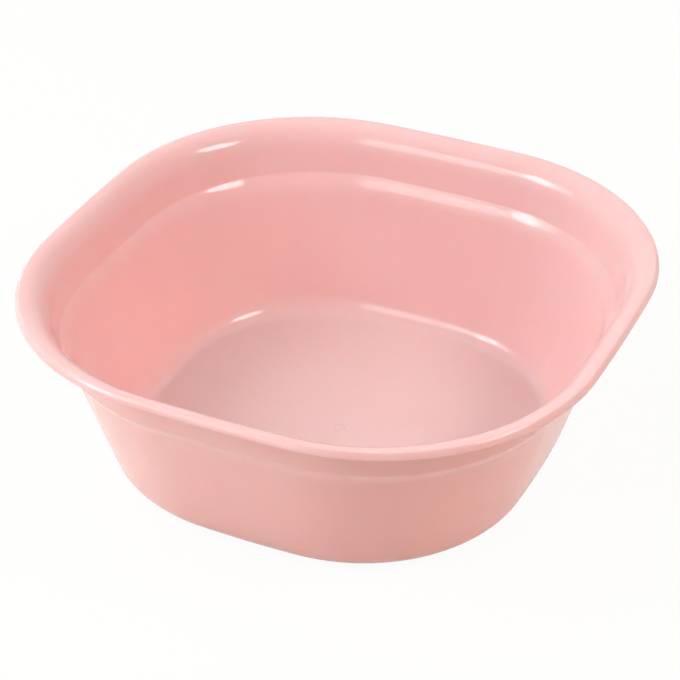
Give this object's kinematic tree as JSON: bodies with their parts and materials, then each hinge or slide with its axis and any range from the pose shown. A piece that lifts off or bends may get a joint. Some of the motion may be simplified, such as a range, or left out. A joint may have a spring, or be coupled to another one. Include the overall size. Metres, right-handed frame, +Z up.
{
  "type": "foot washing basin",
  "caption": "Open rounded-square plastic basin with a broad rolled rim, a stacking ledge under it, tapered walls and a flat floor, for soaking and washing feet.",
  "frame": {"origin": "middle of the standing face under the base", "axes": "+Z up out of the basin's mouth; X and Y square to the flat sides of the rounded-square plan"},
  "size_m": [0.38, 0.38, 0.13],
  "materials": {
    "pink_plastic": "glossy moulded polypropylene, pale salmon pink, coloured through"
  },
  "bodies": {
    "root": {"basin_shell": "pink_plastic"}
  },
  "joints": []
}
